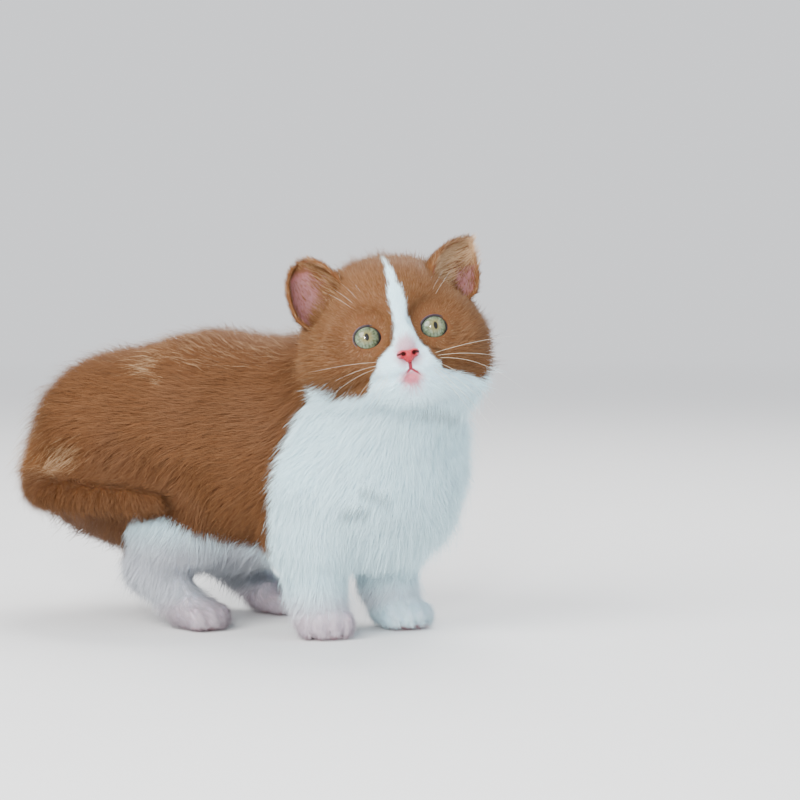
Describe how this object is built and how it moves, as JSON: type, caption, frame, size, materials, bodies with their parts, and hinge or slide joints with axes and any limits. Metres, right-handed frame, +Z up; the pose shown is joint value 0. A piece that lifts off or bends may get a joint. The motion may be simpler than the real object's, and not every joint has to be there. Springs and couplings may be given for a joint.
{
  "type": "munchkin kitten",
  "caption": "Life-size still model of a short-legged brown and white kitten, standing with its head turned to one side.",
  "frame": {"origin": "middle of the bounding box at floor level, between the paws", "axes": "+X towards the chest along the spine, +Y towards the kitten's left, +Z up"},
  "size_m": [0.236, 0.1184, 0.1685],
  "materials": {
    "brown_coat": "plush cinnamon brown fur",
    "head_coat": "short cinnamon brown and white fur",
    "white_coat": "plush white fur",
    "ear_skin": "thin pink skin with sparse hair",
    "iris": "glossy grey-green eye",
    "nose_leather": "moist pink nose leather"
  },
  "bodies": {
    "root": {"head": "head_coat", "ear_left": "ear_skin", "ear_right": "ear_skin", "eye_left": "iris", "eye_right": "iris", "nose": "nose_leather", "neck": "brown_coat", "torso": "brown_coat", "foreleg_left": "white_coat", "foreleg_right": "white_coat", "forepaw_left": "white_coat", "forepaw_right": "white_coat", "hind_leg_left": "white_coat", "hind_leg_right": "white_coat", "hind_paw_left": "white_coat", "hind_paw_right": "white_coat", "tail_base": "brown_coat", "tail_middle": "brown_coat", "tail_tip": "brown_coat"}
  },
  "joints": []
}
